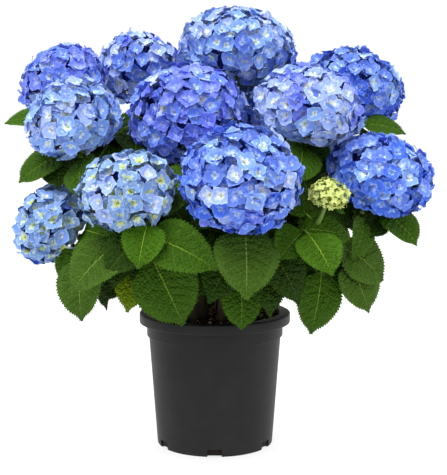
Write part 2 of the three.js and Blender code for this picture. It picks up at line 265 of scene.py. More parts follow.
def grained(material, grain, roughness, spread, relief, strength):
    """Lets a material's roughness and bump follow a grain."""
    nodes, links, shader = tree_of(material)
    reach = nodes.new("ShaderNodeMapRange")
    reach.inputs["To Min"].default_value = roughness - spread
    reach.inputs["To Max"].default_value = roughness + spread
    links.new(grain, reach.inputs["Value"])
    links.new(reach.outputs["Result"], shader.inputs["Roughness"])
    bump = nodes.new("ShaderNodeBump")
    bump.inputs["Distance"].default_value = relief
    bump.inputs["Strength"].default_value = strength
    links.new(grain, bump.inputs["Height"])
    links.new(bump.outputs["Normal"], shader.inputs["Normal"])


def surface(name, colour, roughness, grain=None, relief=0.0, sheen=0.5):
    """A material with a plain base colour, and roughness and bump from a fine noise of size grain."""
    material = bpy.data.materials.new(name)
    material.use_nodes = True
    nodes, links, shader = tree_of(material)
    shader.inputs["Base Color"].default_value = colour
    shader.inputs["Roughness"].default_value = roughness
    shader.inputs["Specular IOR Level"].default_value = sheen
    if grain:
        place = nodes.new("ShaderNodeTexCoord").outputs["Object"]
        speckle = noise_field(nodes, links, place, grain, 3)
        grained(material, speckle, roughness, 0.1, relief, 0.6)
    return material


def mottled(name, colours, size, roughness, relief, sheen=0.3):
    """A material whose colour drifts between several over a noise of the given size."""
    material = surface(name, colours[0], roughness, sheen=sheen)
    nodes, links, shader = tree_of(material)
    place = nodes.new("ShaderNodeTexCoord").outputs["Object"]
    ramp = nodes.new("ShaderNodeValToRGB")
    stops = ramp.color_ramp.elements
    while len(stops) < len(colours):
        stops.new(0.5)
    for index, colour in enumerate(colours):
        stops[index].position = 0.3 + 0.4 * index / (len(colours) - 1)
        stops[index].color = colour
    links.new(noise_field(nodes, links, place, size, 5), ramp.inputs["Fac"])
    links.new(ramp.outputs["Color"], shader.inputs["Base Color"])
    grained(material, noise_field(nodes, links, place, size / 12, 4), roughness, 0.12, relief, 0.7)
    return material


def quilt(material, size, relief):
    """Adds small swellings and creases to a material's bump."""
    nodes, links, shader = tree_of(material)
    place = nodes.new("ShaderNodeTexCoord")
    cells = nodes.new("ShaderNodeTexVoronoi")
    cells.feature = "SMOOTH_F1"
    cells.inputs["Scale"].default_value = 1 / size
    cells.inputs["Smoothness"].default_value = 0.4
    links.new(place.outputs["Object"], cells.inputs["Vector"])
    bump = nodes.new("ShaderNodeBump")
    bump.invert = True
    bump.inputs["Distance"].default_value = relief
    bump.inputs["Strength"].default_value = 0.9
    links.new(cells.outputs["Distance"], bump.inputs["Height"])
    fine = shader.inputs["Normal"].links[0].from_node
    links.new(bump.outputs["Normal"], fine.inputs["Normal"])


def finishes(prefix, colours, *look):
    """One plain material for each named screen colour."""
    return [surface(f"{prefix}_{name}", srgb(*colour), *look) for name, colour in colours.items()]


def palette(prefix, kinds, zones, *look):
    """One plain material for each zone of each kind, and the first slot of each kind."""
    materials = []
    first = {}
    for kind, colours in kinds.items():
        first[kind] = len(materials)
        materials += finishes(f"{prefix}_{kind}", dict(zip(zones, colours)), *look)
    return materials, first


PETAL_MATERIALS, PETAL_SLOTS = palette(
    "petal", PETALS, ("eye", "throat", "inner", "outer", "rim"), 0.6, 1.2 * MM, 0.12 * MM, 0.2)
LEAF_MATERIALS, LEAF_SLOTS = palette(
    "leaf", LEAVES, ("midrib", "vein", "blade", "margin"), 0.46, 1.5 * MM, 0.4 * MM, 0.1)
for material in LEAF_MATERIALS:
    quilt(material, 3.6 * MM, 4.0 * MM)

# ---------------- gathering small shapes


class Pile:
    """Small shapes gathered into one mesh."""

    def __init__(self):
        self.parts = []
        self.count = 0

    def add(self, shape, matrix=None, first_slot=0):
        points = shape.points
        if matrix is not None:
            matrix = np.array(matrix)
            points = points @ matrix[:3, :3].T + matrix[:3, 3]
        self.parts.append(Shape(
            points, shape.tris + self.count, shape.quads + self.count,
            shape.tri_zones + first_slot, shape.quad_zones + first_slot))
        self.count += len(points)

    def build(self, name, materials):
        points = np.concatenate([part.points for part in self.parts])
        tris = np.concatenate([part.tris for part in self.parts])
        quads = np.concatenate([part.quads for part in self.parts])
        slots = np.concatenate([part.tri_zones for part in self.parts]
                               + [part.quad_zones for part in self.parts])
        mesh = bpy.data.meshes.new(name)
        mesh.from_pydata(points.tolist(), [], tris.tolist() + quads.tolist())
        for material in materials:
            mesh.materials.append(material)
        mesh.polygons.foreach_set("material_index", slots.astype(np.int32))
        mesh.polygons.foreach_set("use_smooth", np.ones(len(mesh.polygons), bool))
        mesh.update()
        return placed(name, mesh)


def placed(name, data):
    """An object of that name with the mesh, lamp or lens, in the scene."""
    piece = bpy.data.objects.new(name, data)
    bpy.context.scene.collection.objects.link(piece)
    return piece


def finish_piece(piece, slot, *nodes):
    """The piece rides on the plant and stands for the CAD nodes, which it hides; the slot is not used."""
    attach(piece, "root")
    if nodes:
        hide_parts(*nodes)
    return piece


def grid_quads(rows, columns):
    """The quads of a grid of points stored row by row."""
    row, column = np.mgrid[0:rows - 1, 0:columns - 1]
    corner = (row * columns + column).ravel()
    return np.stack([corner, corner + 1, corner + columns + 1, corner + columns], axis=1)


def turns_of(sides):
    """Even steps round a circle, in radians."""
    return np.arange(sides) * 2 * math.pi / sides


NO_TRIS = np.zeros((0, 3), int)
NO_QUADS = np.zeros((0, 4), int)
NO_ZONES = np.zeros(0, int)


def joined(shapes):
    """Several shapes as one."""
    pile = Pile()
    for shape in shapes:
        pile.add(shape)
    return Shape(*(np.concatenate([getattr(part, field) for part in pile.parts]) for field in Shape._fields))


def tube(centres, radii, sides, zone=0):
    """A closed tube along a line of points."""
    centres = np.asarray(centres, float)
    tangents = np.gradient(centres, axis=0)
    tangents /= norm(tangents, axis=1)[:, None]
    side = np.cross(tangents[0], [0.3, 0.9, 0.2])
    points = []
    for centre, tangent, radius in zip(centres, tangents, radii):
        side = side - tangent * side.dot(tangent)
        side /= norm(side)
        other = np.cross(tangent, side)
        turn = turns_of(sides)
        points.append(centre + radius * (np.cos(turn)[:, None] * side + np.sin(turn)[:, None] * other))
    rings = len(centres)
    ring, step = np.mgrid[0:rings - 1, 0:sides]
    here = (ring * sides + step).ravel()
    beside = (ring * sides + (step + 1) % sides).ravel()
    quads = np.stack([here, beside, beside + sides, here + sides], axis=1)
    fan = np.arange(1, sides - 1)
    start = np.stack([np.zeros_like(fan), fan + 1, fan], axis=1)
    last = (rings - 1) * sides
    end = np.stack([np.full_like(fan, last), last + fan, last + fan + 1], axis=1)
    tris = np.concatenate([start, end])
    return Shape(np.concatenate(points), tris, quads,
                 np.full(len(tris), zone), np.full(len(quads), zone))


def smoothstep(value):
    value = np.clip(value, 0, 1)
    return value * value * (3 - 2 * value)


# ---------------- reading the CAD nodes


def node_points(node):
    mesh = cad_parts[node].data
    return np.array([vertex.co for vertex in mesh.vertices])


def node_tree(node):
    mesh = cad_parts[node].data
    return BVHTree.FromPolygons([vertex.co for vertex in mesh.vertices],
                                [polygon.vertices for polygon in mesh.polygons])


def scatter(node, spacing, rng):
    """Points spread evenly over a node's surface, at least spacing apart, with smoothed normals."""
    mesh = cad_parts[node].data
    mesh.calc_loop_triangles()
    corners = np.array([triangle.vertices for triangle in mesh.loop_triangles])
    points = node_points(node)
    first, second, third = (points[corners[:, index]] for index in range(3))
    cross = np.cross(second - first, third - first)
    area = norm(cross, axis=1)
    normals = cross / np.maximum(area, 1e-12)[:, None]
    count = int(14 * area.sum() / 2 / spacing ** 2)
    pick = rng.choice(len(corners), count, p=area / area.sum())
    root = np.sqrt(rng.random(count))[:, None]
    along = rng.random(count)[:, None]
    spots = (1 - root) * first[pick] + root * (1 - along) * second[pick] + root * along * third[pick]
    chosen = [0]
    gap = norm(spots - spots[0], axis=1)
    while gap.max() > spacing:
        chosen.append(int(gap.argmax()))
        gap = np.minimum(gap, norm(spots - spots[chosen[-1]], axis=1))
    smooth = []
    for index in chosen:
        near = norm(spots - spots[index], axis=1) < 1.2 * spacing
        mean = normals[pick[near]].mean(axis=0)
        smooth.append(mean / norm(mean))
    return spots[chosen], np.array(smooth)


def unit(vector):
    return vector / norm(vector)


def cane_line(node):
    """The centre points and radii of a cane, from its foot to its top, from the rings of its mesh."""
    points = node_points(node)
    rings = []
    for point in points[np.argsort(points[:, 2])]:
        home = next((ring for ring in rings if norm(np.mean(ring, axis=0) - point) < 11 * MM), None)
        if home is None:
            rings.append([point])
        else:
            home.append(point)
    centres = [np.mean(np.unique(np.round(ring, 6), axis=0), axis=0) for ring in rings]
    radii = [norm(np.array(ring) - centre, axis=1).mean() for ring, centre in zip(rings, centres)]
    order = [int(np.argmin([centre[2] for centre in centres]))]
    while len(order) < len(centres):
        rest = [index for index in range(len(centres)) if index not in order]
        order.append(min(rest, key=lambda index: norm(centres[index] - centres[order[-1]])))
    return np.array([centres[index] for index in order]), np.array([radii[index] for index in order])


def lengths_along(points):
    """How far along a line each of its points lies."""
    return np.concatenate([[0], np.cumsum(norm(np.diff(points, axis=0), axis=1))])


def resampled(points, values, step):
    """A smooth curve through the points, sampled every step, with the values along it."""
    lengths = lengths_along(points)
    padded = np.vstack([2 * points[0] - points[1], points, 2 * points[-1] - points[-2]])
    count = max(8, int(lengths[-1] / step))
    spots = []
    for distance in np.linspace(0, lengths[-1], count):
        index = min(int(np.searchsorted(lengths, distance, side="right")) - 1, len(points) - 2)
        share = (distance - lengths[index]) / (lengths[index + 1] - lengths[index])
        before, start, end, after = padded[index:index + 4]
        spots.append(0.5 * (2 * start + (end - before) * share
                            + (2 * before - 5 * start + 4 * end - after) * share ** 2
                            + (3 * start - before - 3 * end + after) * share ** 3))
    return np.array(spots), np.interp(np.linspace(0, lengths[-1], count), lengths, values)


HEADS = sorted(name[len("head_"):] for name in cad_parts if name.startswith("head_"))
HEAD_TREES = {head: node_tree(f"head_{head}") for head in HEADS}
CANES = {head: resampled(*cane_line(f"cane_{head}"), 5 * MM) for head in HEADS}


def head_frame(head):
    """A head's centre, and its axis from the cane's top through the centre."""
    low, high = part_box(f"head_{head}")
    centre = np.array((low + high) / 2)
    return centre, unit(centre - CANES[head][0][-1])


# ---------------- florets


def petal(size, rng, turn, lift, steep):
    """One broad petal with a blunt point, rising steeply from the eye and rolling out to its rim."""
    length = size["petal"] * rng.uniform(0.88, 1.08)
    half = size["width"] / 2 * rng.uniform(0.88, 1.08)
    share = np.array([0.04, 0.22, 0.42, 0.64, 0.84, 0.985])
    across = np.array([-1, -0.8, -0.3, 0.3, 0.8, 1])
    widest = 0.6
    rising = 0.14 + 0.86 * np.sqrt(np.clip(1 - ((widest - share) / widest) ** 2, 0, 1))
    falling = np.clip(1 - ((share - widest) / (1.02 - widest)) ** 2.1, 0, 1) ** 0.7
    outline = half * np.where(share < widest, rising, falling)
    fine = np.linspace(0, 1, 41)
    pitch = steep * (1 - fine) + rng.uniform(-0.3, 0.4) * fine
    out = np.concatenate([[0], np.cumsum(np.cos(pitch[1:]))]) / 40
    up = np.concatenate([[0], np.cumsum(np.sin(pitch[1:]))]) / 40
    s, u = np.meshgrid(share, across, indexing="ij")
    x = u * outline[:, None]
    point = 0.07 * (1 - np.abs(u)) * smoothstep((s - 0.75) / 0.25)
    y = length * (np.interp(s, fine, out) - 0.08 * u * u * s + point)
    hollow = rng.uniform(0.0, 0.14)
    ruffle = rng.uniform(-0.1, 0.1)
    wave = rng.uniform(-0.04, 0.04)
    z = length * (np.interp(s, fine, up) + hollow * u * u * s + ruffle * u * s
                  + wave * np.sin(3 * u + 4 * s)) + lift
    points = np.stack([x, y, z], axis=-1).reshape(-1, 3)
    turned = np.array(Matrix.Rotation(turn, 3, "Z"))
    inner = 2 if rng.random() < 0.65 else 3
    # zone 4, the rim along the outer columns and the last row, is a painted highlight on the petals' edges
    zones = np.array([[1, 1, 1, 1, 1], [3, inner, 1, inner, 3], [4, 3, inner, 3, 4],
                      [4, 3, 3, 3, 4], [4, 4, 4, 4, 4]]).ravel()
    return Shape(points @ turned.T, NO_TRIS, grid_quads(len(share), len(across)), NO_ZONES, zones)


def eye(size):
    """The small closed flower in the middle of the petals."""
    radius = 0.12 * size["petal"]
    turn = np.arange(5) * 2 * math.pi / 5
    rings = [np.stack([radius * k * np.cos(turn), radius * k * np.sin(turn), np.full(5, radius * z)], axis=1)
             for k, z in ((0.9, 0.2), (0.9, 1.4))]
    points = np.concatenate(rings + [[[0, 0, 2.1 * radius]]])
    step = np.arange(5)
    ahead = (step + 1) % 5
    quads = np.stack([step, ahead, ahead + 5, step + 5], axis=1)
    tris = np.stack([step + 5, ahead + 5, np.full(5, 10)], axis=1)
    return Shape(points, tris, quads, np.zeros(5, int), np.zeros(5, int))


def floret_shapes(size, rng):
    """A few florets to choose from, each of four petals in two overlapping pairs."""
    shapes = []
    for _ in range(size["variants"]):
        steep = rng.uniform(*size["steep"])
        petals = [petal(size, rng, quarter * math.pi / 2 + rng.uniform(-0.16, 0.16),
                        size["petal"] * 0.05 * (quarter % 2), steep + rng.uniform(-0.2, 0.2))
                  for quarter in range(4)]
        shapes.append(joined(petals + [eye(size)]))
    return shapes


def facing(place, normal, roll, size=1.0):
    """A matrix that sets a shape down at a place, its +Z along the normal."""
    normal = Vector(normal)
    turn = normal.to_track_quat("Z", "Y").to_matrix().to_4x4()
    return Matrix.Translation(Vector(place)) @ turn @ Matrix.Rotation(roll, 4, "Z") @ Matrix.Scale(size, 4)


def dress_head(head, pile, stalks, size, shapes, rng):
    """Florets over a head in two layers, each on its own thin stalk from the top of the cane."""
    centre, axis = head_frame(head)
    kinds = HEAD_KINDS_LIT_TOP_SHADED_BELOW.get(head, OTHER_KINDS_LIT_TOP_SHADED_BELOW)
    fork = CANES[head][0][-1]
    for layer in ("", "under_"):
        spots, normals = scatter(f"head_{head}", size[layer + "spacing"], rng)
        heights = spots @ axis
        middle = (heights.max() + heights.min()) / 2
        for spot, normal, height in zip(spots, normals, heights):
            out = unit(spot - centre)
            if out.dot(-axis) > math.cos(math.radians(BARE_UNDERSIDE)):
                continue
            spot = spot + np.cross(normal, rng.normal(0, 0.13, 3)) * size["petal"]
            place = spot - normal * (size[layer + "sunk"] + rng.uniform(-0.14, 0.14) * size["petal"])
            normal = unit(normal + rng.normal(0, 0.18, 3))
            # painted light and shade: florets high on the head take the paler kinds, those low on it the
            # deeper kinds
            share = kinds[0 if height > middle + rng.normal(0, 0.25) * (heights.max() - middle) else 1]
            weights = np.array(list(share.values()), float)
            kind = rng.choice(list(share), p=weights / weights.sum())
            pile.add(shapes[rng.integers(len(shapes))],
                     facing(place, normal, rng.uniform(0, math.pi), rng.uniform(0.84, 1.04)),
                     PETAL_SLOTS[kind])
            along = np.linspace(0, 1, 4)[:, None]
            bend = place - normal * norm(place - fork) * 0.35
            line = (1 - along) ** 2 * fork + 2 * along * (1 - along) * bend + along ** 2 * place
            stalks.add(tube(line, np.linspace(1.1, 0.6, 4) * size["petal"] * 0.06, 3, 1))


def core_of(head, share):
    """A dark inner form whose deep colour is painted shade between the florets: the head's own form, drawn in
    to its centre.
    """
    points = node_points(f"head_{head}")
    centre, _ = head_frame(head)
    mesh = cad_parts[f"head_{head}"].data
    drawn = centre + (points - centre) * share
    faces = np.array([list(polygon.vertices) for polygon in mesh.polygons])
    return Shape(drawn, faces, NO_QUADS, np.zeros(len(faces), int), NO_ZONES)


# ---------------- leaves


def leaf(length, width, rng, droop, fold):
    """A toothed, pointed leaf along +Y with its face to +Z, and the place of its tip."""
    starts = [LEAF["first_vein"] + LEAF["vein_step"] * index for index in range(LEAF["vein_pairs"])]
    rows = [0.0]
    kinds = []
    for index, start in enumerate(starts):
        end = starts[index + 1] if index + 1 < len(starts) else 0.86
        rows += [start, start + LEAF["vein_breadth"]]
        kinds += ["blade", "vein"]
        inner = np.linspace(start + LEAF["vein_breadth"], end, 4)[1:-1]
        rows += list(inner)
        kinds += ["blade"] * len(inner)
    rows += [0.86, 0.93, 0.975, 1.0]
    kinds += ["blade"] * 4
    rows = np.array(rows)
    middle = LEAF["midrib"]
    half_columns = np.array([middle, 0.14, 0.34, 0.56, 0.78, 1.0])
    columns = np.concatenate([-half_columns[::-1], half_columns])
    v, u = np.meshgrid(rows, columns, indexing="ij")
    u = np.where(np.abs(u) <= middle, u * (1.3 - v), u)
    side = np.abs(u)
    t = v + LEAF["sweep"] * side ** 1.25 * np.sin(math.pi * v) ** 0.8
    t = np.minimum(t, 1.0)
    outline = np.sin(math.pi * np.clip(t, 0.004, 0.997) ** 0.72) ** 0.8
    outline *= 1 - 0.42 * smoothstep((t - 0.8) / 0.14)
    outline = np.maximum(outline, 0.03)
    x = u * outline * width / 2
    y = t * length
    # The blade swells between the side veins and dips along them and the midrib.
    nearest = np.full(v.shape, 9.0)
    for start in starts:
        nearest = np.minimum(nearest, np.abs(v - start - LEAF["vein_breadth"] / 2))
    swell = np.sin(np.clip(nearest / LEAF["vein_step"], 0, 0.5) * math.pi)
    z = LEAF["quilt"] * swell * (1 - side ** 3) * smoothstep((1 - v) / 0.3)
    z -= LEAF["groove"] * np.exp(-(side / 0.1) ** 2) * (1 - v)
    z += fold * side * outline * width / 2
    wave = rng.uniform(0, 2 * math.pi)
    z += rng.uniform(0.6, 1.6) * MM * side ** 2 * np.sin(9 * t + wave + (u > 0) * rng.uniform(0.5, 2.5))
    x = x + rng.uniform(-0.06, 0.06) * length * t ** 2  # the midrib bends a little to one side
    angle = droop * (y / length)
    reach = length / droop
    points = np.stack([x, reach * np.sin(angle) + z * np.sin(angle),
                       -reach * (1 - np.cos(angle)) + z * np.cos(angle)], axis=-1)
    quads = grid_quads(len(rows), len(columns))
    zones = np.zeros((len(rows) - 1, len(columns) - 1), int)
    for row, kind in enumerate(kinds):
        zones[row] = 1 if kind == "vein" else 2
        # the outer columns take the lighter margin colour: painted light along the leaf's edge
        zones[row, [0, -1]] = 3
    zones[:, len(half_columns) - 1] = 0
    # Teeth along both margins, each leaning towards the tip.
    teeth = []
    corners = []
    flat = points.reshape(-1, 3)
    for column, outwards in ((0, -1), (len(columns) - 1, 1)):
        for row in range(2, len(rows) - 2):
            low = row * len(columns) + column
            high = low + len(columns)
            edge = flat[high] - flat[low]
            if norm(edge) < 0.8 * MM:
                continue
            size = min(LEAF["tooth"], 0.9 * norm(edge))
            out = unit(np.array([outwards * edge[1], -outwards * edge[0], 0]))
            teeth.append(flat[low] + 0.85 * edge + out * size)
            apex = len(flat) + len(teeth) - 1
            corners.append([low, apex, high] if outwards > 0 else [low, high, apex])
    points = np.concatenate([flat, teeth])
    tip = np.array([0, reach * math.sin(droop), -reach * (1 - math.cos(droop))])
    return Shape(points, np.array(corners), quads, np.full(len(corners), 3), zones.ravel()), tip


def leaf_between(heel, tip, face, width, rng, droop, fold):
    """A leaf from heel to tip whose upper side looks towards face."""
    shape, end = leaf(norm(tip - heel) * (1 + droop ** 2 / 24), width, rng, droop, fold)
    chord = unit(end)
    normal = np.array([0, -chord[2], chord[1]])
    along = unit(tip - heel)
    upper = unit(face - along * face.dot(along))
    local = np.stack([[1, 0, 0], chord, normal], axis=1)
    world = np.stack([np.cross(along, upper), along, upper], axis=1)
    scale = norm(tip - heel) / norm(end)
    points = shape.points @ (world @ local.T).T * scale + heel
    start = world @ local.T @ np.array([0, 1, 0])
    return shape._replace(points=points), start


def nearest_cane_point(place, below=25 * MM):
    """The nearest point on any cane that is a little lower than the place."""
    best = None
    for line, _ in CANES.values():
        gap = norm(line - place, axis=1) + 4 * np.maximum(line[:, 2] - place[2] + below, 0)
        index = int(gap.argmin())
        if best is None or gap[index] < best[0]:
            best = (gap[index], line[index])
    return best[1]


def petiole(stalks, start, heel, direction, radius):
    """A leaf stalk that curves from its cane into the leaf's base."""
    span = norm(heel - start)
    share = np.linspace(0, 1, 7)[:, None]
    bend = heel - direction * 0.45 * span
    end = heel + direction * 2 * MM
    line = (1 - share) ** 2 * start + 2 * share * (1 - share) * bend + share ** 2 * end
    stalks.add(tube(line, np.linspace(1.3, 0.8, 7) * radius, 6, 0))


def inside_head(point, margin=0.0):
    """Whether a point lies inside a flower head by more than the margin."""
    for tree in HEAD_TREES.values():
        spot, normal, _, distance = tree.find_nearest(Vector(point))
        if (Vector(point) - spot).dot(normal) < 0 and distance > margin:
            return True
    return False


LEAF_MASSES = sorted(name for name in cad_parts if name.startswith("leaves_"))
MASS_TREES = [node_tree(name) for name in LEAF_MASSES] + list(HEAD_TREES.values())


def in_crown(point, reach):
    """Whether a point lies in or within reach of the crown's masses."""
    for tree in MASS_TREES:
        spot, normal, _, distance = tree.find_nearest(Vector(point))
        if distance < reach or (Vector(point) - spot).dot(normal) < CROWN["inside"] * distance:
            return True
    return False


def mass_frame(node):
    """Heel, tip, face and width of a leaf mass, from the spread of its mesh."""
    points = np.unique(np.round(node_points(node), 5), axis=0)
    middle = points.mean(axis=0)
    _, _, axes = np.linalg.svd(points - middle)
    along = axes[0]
    ends = points[(points @ along).argmin()], points[(points @ along).argmax()]
    heel, tip = sorted(ends, key=lambda end: math.hypot(end[0], end[1]) - end[2])
    across = (points - middle) @ axes[1]
    face = axes[2]
    outwards = unit(np.array([middle[0], middle[1], 0.12]))
    if face.dot(outwards + np.array([0, 0, 0.6])) < 0:
        face = -face
    return heel, tip, face, across.max() - across.min()


LEAD_FACES = [(node_points(name).mean(axis=0), mass_frame(name)[2])
              for name in LEAF_MASSES if "heart" not in name]


def over_lead(spot):
    """Whether a spot lies on the upper side of a lead leaf, close above it."""
    lowest, highest, radius = LEAD_GUARD
    for middle, face in LEAD_FACES:
        rise = (spot - middle).dot(face)
        if lowest < rise < highest and norm(spot - middle - rise * face) < radius:
            return True
    return False


def hang_leaf(pile, stalks, heel, tip, face, width, rng, droop, kind=None, fold=0.12, start=None,
              thick=1.5 * MM):
    """A leaf on its stalk, of a dealt kind if none is given, from a place on a cane or else the nearest."""
    shape, direction = leaf_between(heel, tip, face, width, rng, rng.uniform(*droop), fold)
    if kind is None:
        kind = rng.choice(["dark", "mid", "dusky", "bright"], p=[0.4, 0.35, 0.15, 0.1])
    pile.add(shape, None, LEAF_SLOTS[str(kind)])
    petiole(stalks, nearest_cane_point(heel) if start is None else start, heel, direction, thick)


def lead_leaves(node, pile, stalks, rng):
    """The leaf that a mass is shaped after, and the leaves fanned out round it."""
    heel, tip, face, width = mass_frame(node)
    place = node[len("leaves_"):]
    kind = LEAD_KINDS.get(place, "mid")
    hang_leaf(pile, stalks, heel, tip, face, width * 0.98, rng, (0.6, 0.9), kind, 0.1)
    span = tip - heel
    known = FANS.get(place)
    fans = known
    if known is None:
        fans = [(sign * rng.uniform(24, 36), rng.uniform(0.62, 0.78), 0.8, rng.uniform(-12, -7), 12, None)
                for sign in (-1, 1)]
    for turn, length, breadth, forward, back, kind in fans:
        swing = np.array(Matrix.Rotation(math.radians(turn), 3, Vector(face)))
        start = heel + face * forward * MM - unit(span) * back * MM
        end = start + swing @ span * length
        if known is None and (not in_crown(end, 10 * MM) or inside_head(end)):
            continue
        hang_leaf(pile, stalks, start, end, face, width * breadth, rng, (0.5, 1.0), kind)


def over_mix(tip):
    """Whether a leaf's tip would hang down in front of the open mix."""
    height, radius = MIX_GUARD
    return tip[1] < 0 and tip[2] < POT["height"] + height and math.hypot(tip[0], tip[1]) < radius


def heart_leaves(node, pile, stalks, rng):
    """Overlapping leaves over the inner foliage, hanging outwards and down."""
    spots, normals = scatter(node, HEART_LEAF["spacing"], rng)
    for spot, normal in zip(spots, normals):
        if normal[2] < -0.75:
            continue
        fall = np.array([rng.normal(0, 0.35), rng.normal(0, 0.35), -1.0])
        hang = unit(fall - normal * fall.dot(normal) + 0.45 * normal)
        length = rng.uniform(*HEART_LEAF["length"]) * MM
        heel = spot - hang * 0.45 * length - normal * 6 * MM
        tip = heel + hang * length
        if inside_head(tip, 4 * MM) or inside_head((heel + tip) / 2, 4 * MM) or over_mix(tip):
            continue
        if over_lead(tip) or over_lead((heel + tip) / 2):
            continue
        width = length * rng.uniform(*HEART_LEAF["breadth"])
        hang_leaf(pile, stalks, heel, tip, normal, width, rng, (0.5, 1.0))


def fits(heel, tip):
    """Whether a leaf keeps clear of the heads and the pot, and ends in the crown or between its masses."""
    spots = [heel + (tip - heel) * share for share in (0.35, 0.7, 1.0)]
    if over_mix(tip) or tip[2] < POT["height"] + 12 * MM or any(inside_head(spot, 3 * MM) for spot in spots):
        return False
    if any(over_lead(spot) for spot in spots):
        return False
    gaps = [tree.find_nearest(Vector(tip))[3] for tree in MASS_TREES]
    return in_crown(tip, CROWN["reach"]) or sum(gap < CROWN["between"] for gap in gaps) >= 3


def cane_leaves(head, pile, stalks, rng):
    """Opposite pairs of hanging leaves up a cane, each pair at right angles to the one below."""
    line, _ = CANES[head]
    lengths = lengths_along(line)
    total = lengths[-1]
    longest = CANE_LEAF["longest_by_bud" if head == "bud" else "longest"]
    gap = longest * 0.45 if head == "bud" else CANE_LEAF["gap"]
    twist = rng.uniform(0, math.pi)
    for pair in range(CANE_LEAF["pairs"]):
        distance = total - 12 * MM - pair * gap
        if distance < 50 * MM:
            break
        index = min(int(np.searchsorted(lengths, distance)), len(line) - 2)
        tangent = unit(line[index + 1] - line[index - 1])
        flat = unit(np.cross(tangent, [0.1, 0.2, 1.0]) + 1e-6)
        swing = np.array(Matrix.Rotation(twist + pair * math.pi / 2, 3, Vector(tangent)))
        for sign in (-1, 1):
            side = sign * (swing @ flat)
            heel = line[index] + unit(side + 0.4 * tangent) * rng.uniform(14, 24) * MM
            for attempt in range(CANE_LEAF["tries"]):
                length = longest * rng.uniform(0.75, 1.0) * (1 - 0.07 * attempt)
                fall = np.array([rng.normal(0, 0.3), rng.normal(0, 0.3), rng.uniform(-1.0, -0.2)])
                tip = heel + unit(side + fall) * length
                if fits(heel, tip):
                    break
            else:
                continue
            middle = (heel + tip) / 2
            outwards = unit(np.array([middle[0], middle[1], 0]))
            face = unit(0.7 * tangent + 0.7 * outwards + np.array([0, 0, 0.4]))
            width = length * rng.uniform(*CANE_LEAF["breadth"])
            hang_leaf(pile, stalks, heel, tip, face, width, rng, (0.5, 1.1),
                      start=line[index], thick=1.3 * MM)


# ---------------- canes


def cane_shape(head, rng):
    """A ribbed, slightly knotted cane, green above and brown at its foot, where the woody brown is darkened
    as painted shade.
    """
    line, radii = CANES[head]
    sides = CANE["sides"]
    lengths = lengths_along(line)
    knots = np.arange(lengths[-1] - 26 * MM, 30 * MM, -CANE_LEAF["gap"])
    swell = sum(np.exp(-((lengths - knot) / CANE["knot"]) ** 2) for knot in knots)
    shape = tube(line, radii * (1 + CANE["swell"] * swell), sides)
    points = shape.points.reshape(len(line), sides, 3)
    turn = turns_of(sides)
    rib = (1 + CANE["ribs"] * np.cos(sides / 2 * turn)[None, :]
           + CANE["rough"] * rng.normal(0, 1, (len(line), sides)))
    points = line[:, None, :] + (points - line[:, None, :]) * rib[:, :, None]
    # painted shade: the woody foot takes a darkened brown, for the shade low in the crown
    woody_and_shaded = (points[:, 0, 2] + rng.normal(0, 6 * MM, len(line))) < CANE["woody_and_shaded_up_to"]
    zones = np.repeat(np.where(woody_and_shaded[:-1], 1, 0), sides)
    return shape._replace(points=points.reshape(-1, 3), quad_zones=zones)


# ---------------- pot and potting mix


def circle(radius, sides):
    """Points round the axis, from the front."""
    return [(radius * math.sin(turn), -radius * math.cos(turn))
            for turn in turns_of(sides)]


def ringed(name, rings, material):
    """A closed solid of rings of points, the first and the last of them a single point."""
    mesh = bpy.data.meshes.new(name)
    shape = bmesh.new()
    rings = [[shape.verts.new(point) for point in ring] for ring in rings]
    for lower, upper in zip(rings, rings[1:]):
        sides = max(len(lower), len(upper))
        for index in range(sides):
            ahead = (index + 1) % sides
            if len(lower) == 1:
                shape.faces.new((lower[0], upper[index], upper[ahead]))
            elif len(upper) == 1:
                shape.faces.new((lower[index], lower[ahead], upper[0]))
            else:
                shape.faces.new((lower[index], lower[ahead], upper[ahead], upper[index]))
    bmesh.ops.recalc_face_normals(shape, faces=shape.faces)
    for face in shape.faces:
        face.smooth = True
    shape.to_mesh(mesh)
    shape.free()
    mesh.materials.append(material)
    return placed(name, mesh)


def arc(centre, radius, start, end, steps=5):
    """Points of an arc in the profile's plane, between two angles in degrees."""
    return [(centre[0] + radius * math.cos(angle), centre[1] + radius * math.sin(angle))
            for angle in (math.radians(degrees) for degrees in np.linspace(start, end, steps))]


def inner_radius(height):
    shoulder_radius, shoulder_height = POT["shoulder"]
    share = min(height / shoulder_height, 1)
    return POT["base"] + (shoulder_radius - POT["base"]) * share - POT["wall"]


def pot_profile():
    shoulder_radius, shoulder_height = POT["shoulder"]
    lip_radius, lip_height = POT["lip"]
    height = POT["height"]
    foot = 2 * MM
    edge = 2 * MM
    bead = 1.2 * MM
    top = inner_radius(height)
    return (
        [(0, 0)]
        + arc((POT["base"] - foot, foot), foot, -90, 0)
        + [(shoulder_radius - 0.3 * MM, shoulder_height - 4 * MM), (shoulder_radius, shoulder_height)]
        + arc((POT["band"] - bead, shoulder_height + bead), bead, -60, 0, 4)
        + [(POT["band"], lip_height - 2 * MM)]
        + arc((POT["band"] + bead, lip_height - bead), bead, 180, 90, 4)
        + arc((lip_radius - edge, lip_height + edge), edge, -90, 0)
        + arc((lip_radius - edge, height - edge), edge, 0, 90)
        + [(top + 1.5 * MM, height), (top, height - 1.5 * MM)]
        + [(inner_radius(shoulder_height), shoulder_height), (inner_radius(POT["floor"]), POT["floor"])]
        + [(0, POT["floor"])]
    )


